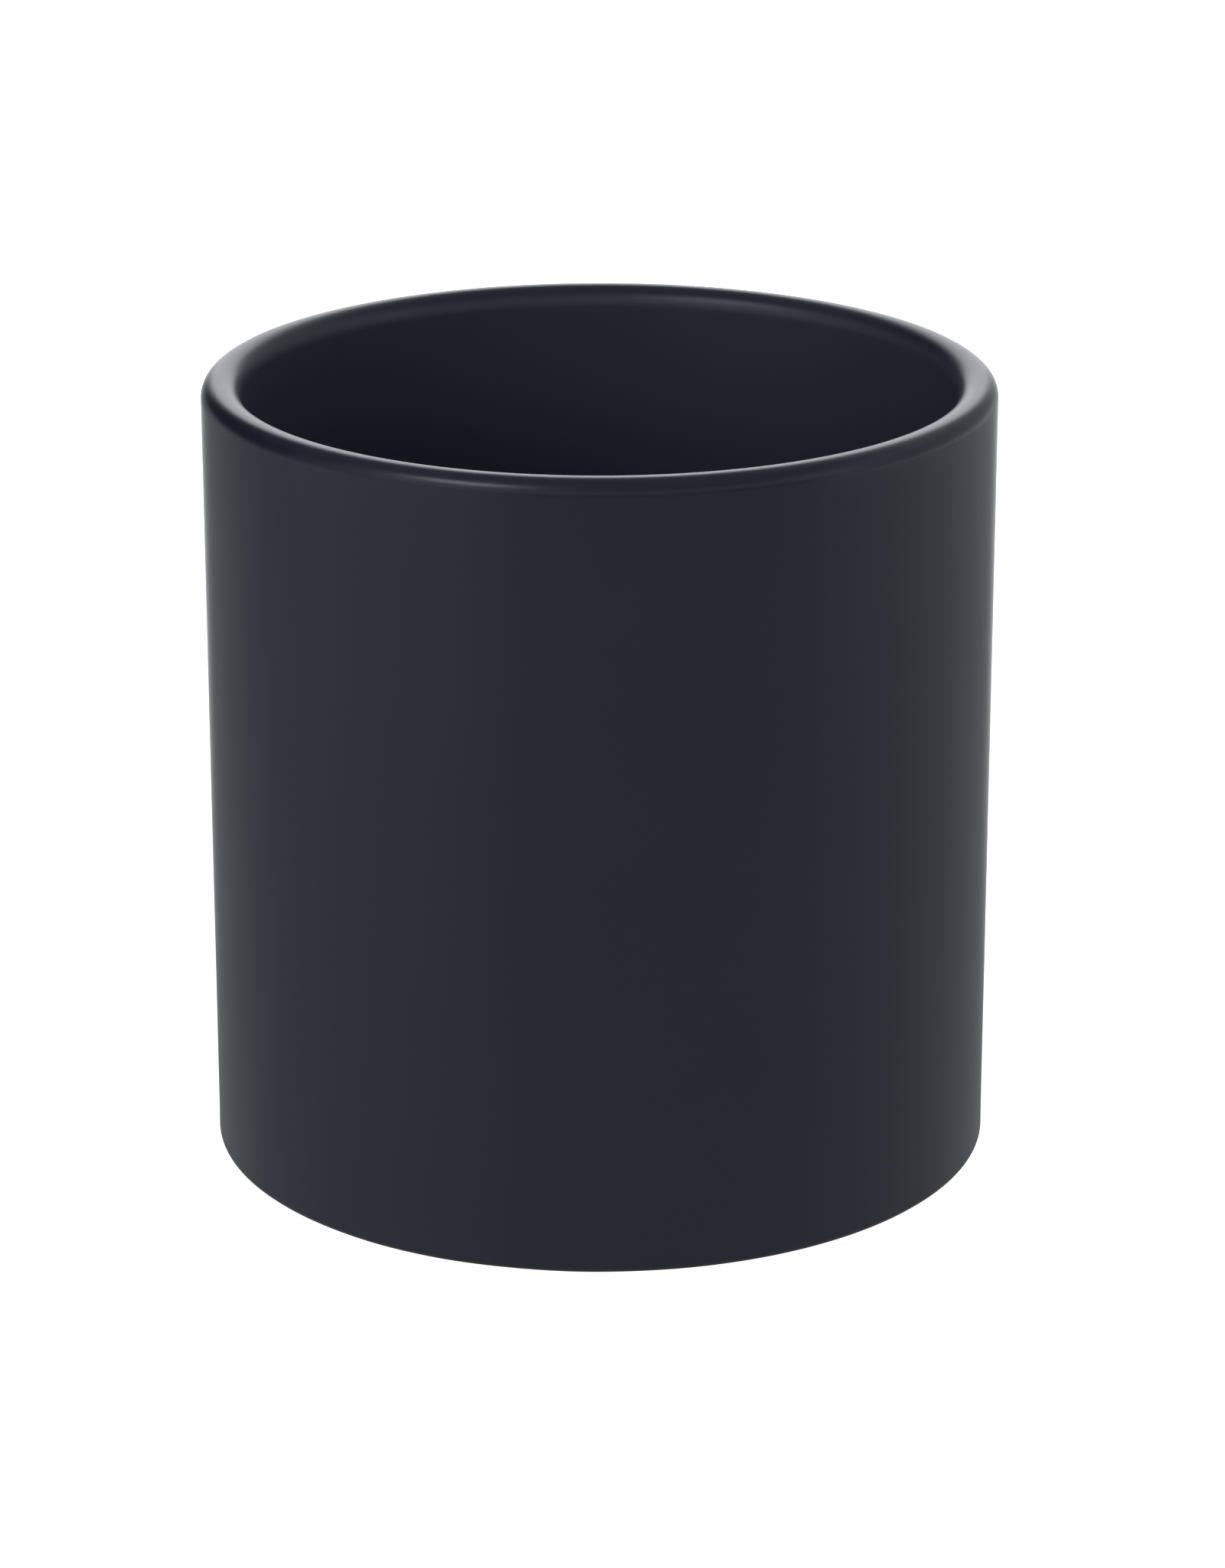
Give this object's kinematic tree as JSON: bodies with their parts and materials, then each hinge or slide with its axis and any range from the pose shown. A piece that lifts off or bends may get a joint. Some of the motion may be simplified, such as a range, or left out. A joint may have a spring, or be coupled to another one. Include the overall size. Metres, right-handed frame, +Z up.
{
  "type": "candle jar",
  "caption": "Empty straight-sided ceramic candle jar: dark satin-matt glaze, rounded rim, flat floor inside and a bare foot ring under a shallow hollow.",
  "frame": {"origin": "centre of the foot ring, on the plane that the jar stands on", "axes": "+Z up along the jar's axis, out of its mouth; the jar is round, so +X and +Y are any two square directions"},
  "size_m": [0.08, 0.08, 0.0808],
  "materials": {
    "bare_clay": "unglazed fired clay, wiped and sanded at the foot",
    "outside_glaze": "satin-matt near-black glaze with a cool tint",
    "inside_glaze": "satin-matt near-black glaze with a cool tint",
    "base_glaze": "satin-matt near-black glaze with a cool tint"
  },
  "bodies": {
    "root": {"clay_body": "bare_clay", "outside_glaze": "outside_glaze", "inside_glaze": "inside_glaze", "base_glaze": "base_glaze"}
  },
  "joints": []
}
